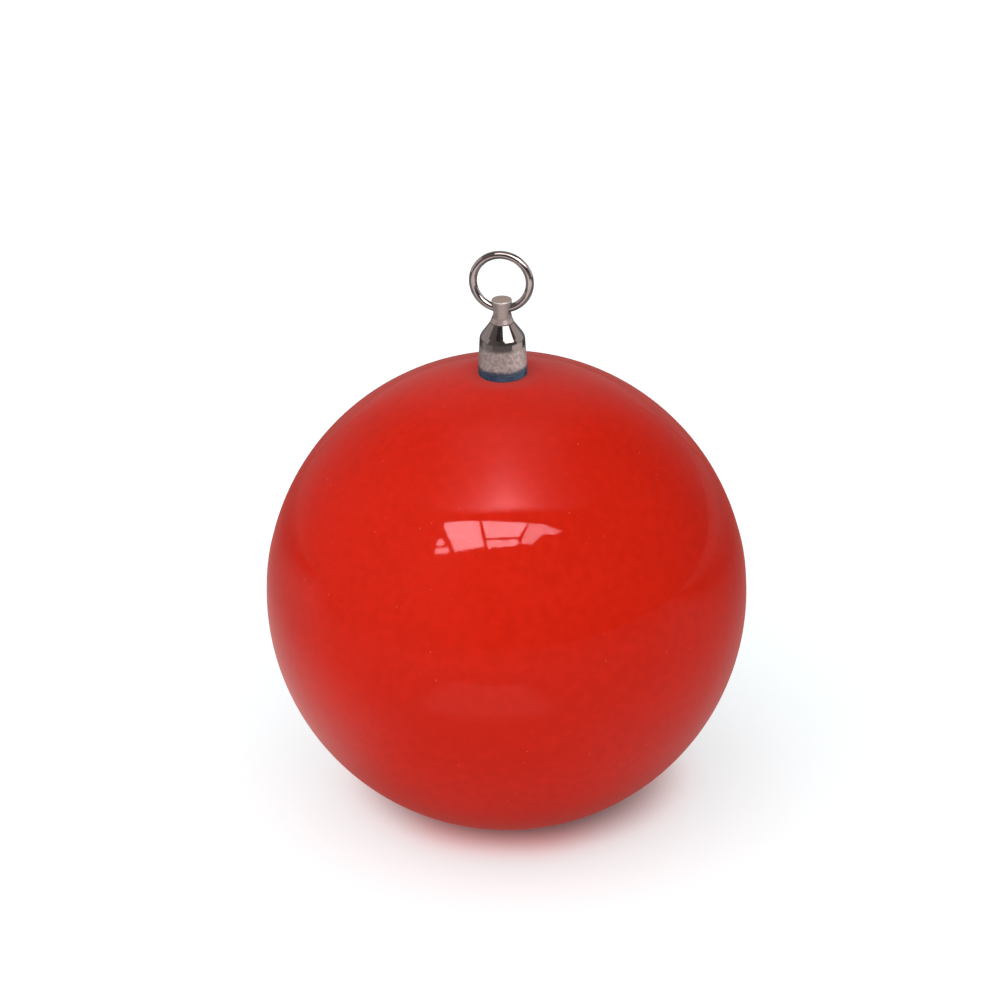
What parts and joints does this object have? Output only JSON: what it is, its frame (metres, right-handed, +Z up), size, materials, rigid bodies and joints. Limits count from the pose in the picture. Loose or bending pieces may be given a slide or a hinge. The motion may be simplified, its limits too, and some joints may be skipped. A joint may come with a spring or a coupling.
{
  "type": "tetherball with swivel fitting",
  "caption": "Hollow glossy ball with a bell-shaped swivel housing on its neck and a round wire ring threaded through the swivel's eye post, to hang it from a line.",
  "frame": {"origin": "centre of the hanging ring", "axes": "+Z up along the line of pull, from the ball through the swivel to the ring; +Y square to the ring's plane, the way a hook or shackle passes through it; +X along the swivel's cross hole"},
  "size_m": [0.21, 0.21, 0.2641],
  "materials": {
    "red_vinyl": "gloss",
    "red_rubber": "satin",
    "ring_steel": "polished",
    "post_steel": "satin",
    "housing_metal": "satin",
    "bearing_steel": "polished",
    "plain_steel": "satin",
    "cage_brass": "satin",
    "bush_bronze": "satin",
    "navy_rubber": "gloss",
    "black_rubber": "matte"
  },
  "bodies": {
    "ring": {"ring": "ring_steel"},
    "swivel_post": {"eye_post": "post_steel", "shaft_oring": "black_rubber", "lower_race": "bearing_steel", "spacer_washer": "plain_steel", "castle_nut": "plain_steel", "split_pin": "plain_steel"},
    "bearing": {"bearing_cage": "cage_brass", "bearing_balls": "bearing_steel"},
    "ball": {"upper_race": "bearing_steel", "neck_bush": "bush_bronze", "swivel_housing": "housing_metal", "plug_gasket": "black_rubber", "base_plug": "plain_steel", "mounting_stud": "plain_steel", "seal_washer": "navy_rubber", "neck_insert": "cage_brass", "anchor_plate": "plain_steel", "ball_shell": "red_vinyl", "valve_seat": "red_rubber", "valve_plug": "black_rubber"}
  },
  "joints": [
    {"name": "ring_tilt", "type": "hinge", "parent": "ring", "child": "swivel_post", "pos_m": [0, 0, -0.0121], "axis": [1, 0, 0], "range_deg": [-149, 149]},
    {"name": "swivel_spin", "type": "hinge", "parent": "swivel_post", "child": "ball", "pos_m": [0, 0, -0.0253], "axis": [0, 0, 1], "continuous": true},
    {"name": "bearing_roll", "type": "hinge", "parent": "swivel_post", "child": "bearing", "pos_m": [0, 0, -0.0253], "axis": [0, 0, 1], "continuous": true}
  ],
  "couplings": [
    {"joint": "bearing_roll", "follows": "swivel_spin", "ratio": 0.5}
  ]
}
